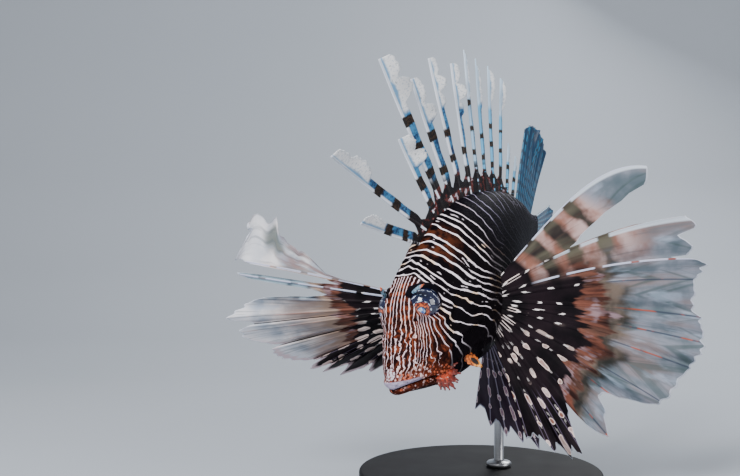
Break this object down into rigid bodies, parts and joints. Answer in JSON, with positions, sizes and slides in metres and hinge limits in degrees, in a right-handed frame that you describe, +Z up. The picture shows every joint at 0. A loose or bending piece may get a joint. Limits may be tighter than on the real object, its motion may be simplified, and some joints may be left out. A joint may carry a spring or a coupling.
{
  "type": "red lionfish model",
  "caption": "Life-size still model of a red lionfish, nose down with breast fins and banded back spines spread, held by a rod on a round base.",
  "frame": {"origin": "centre of the underside of the stand's round base", "axes": "+Z up; -Y towards the viewer the fish faces; +X to that viewer's right, the side of the fish's left breast fin"},
  "size_m": [0.3403, 0.2907, 0.3148],
  "materials": {
    "skin": "painted cast, dark maroon bars with thin white lines, satin",
    "eye": "polished, dark blue with an orange ring",
    "spines": "white with dark brown bands, satin",
    "clear_fins": "thin, bluish, with rows of faint dots",
    "breast_fins": "dark maroon at the root, pale grey with pink-brown blotches outward",
    "belly_fins": "dark maroon with pale pink blotches",
    "flaps": "orange red with pale tips",
    "stand_base": "black, satin",
    "stand_rod": "brushed"
  },
  "bodies": {
    "root": {"head": "skin", "lower_jaw": "skin", "trunk": "skin", "tail_stalk": "skin", "eye_left": "eye", "eye_right": "eye", "spiny_back_fin": "spines", "soft_back_fin": "clear_fins", "anal_fin": "clear_fins", "tail_fin": "clear_fins", "breast_fin_left": "breast_fins", "breast_fin_right": "breast_fins", "belly_fin_left": "belly_fins", "belly_fin_right": "belly_fins", "brow_flap_left": "flaps", "brow_flap_right": "flaps", "cheek_flap_left": "flaps", "cheek_flap_right": "flaps", "jaw_flap_left": "flaps", "jaw_flap_right": "flaps", "stand_base": "stand_base", "stand_rod": "stand_rod"}
  },
  "joints": []
}
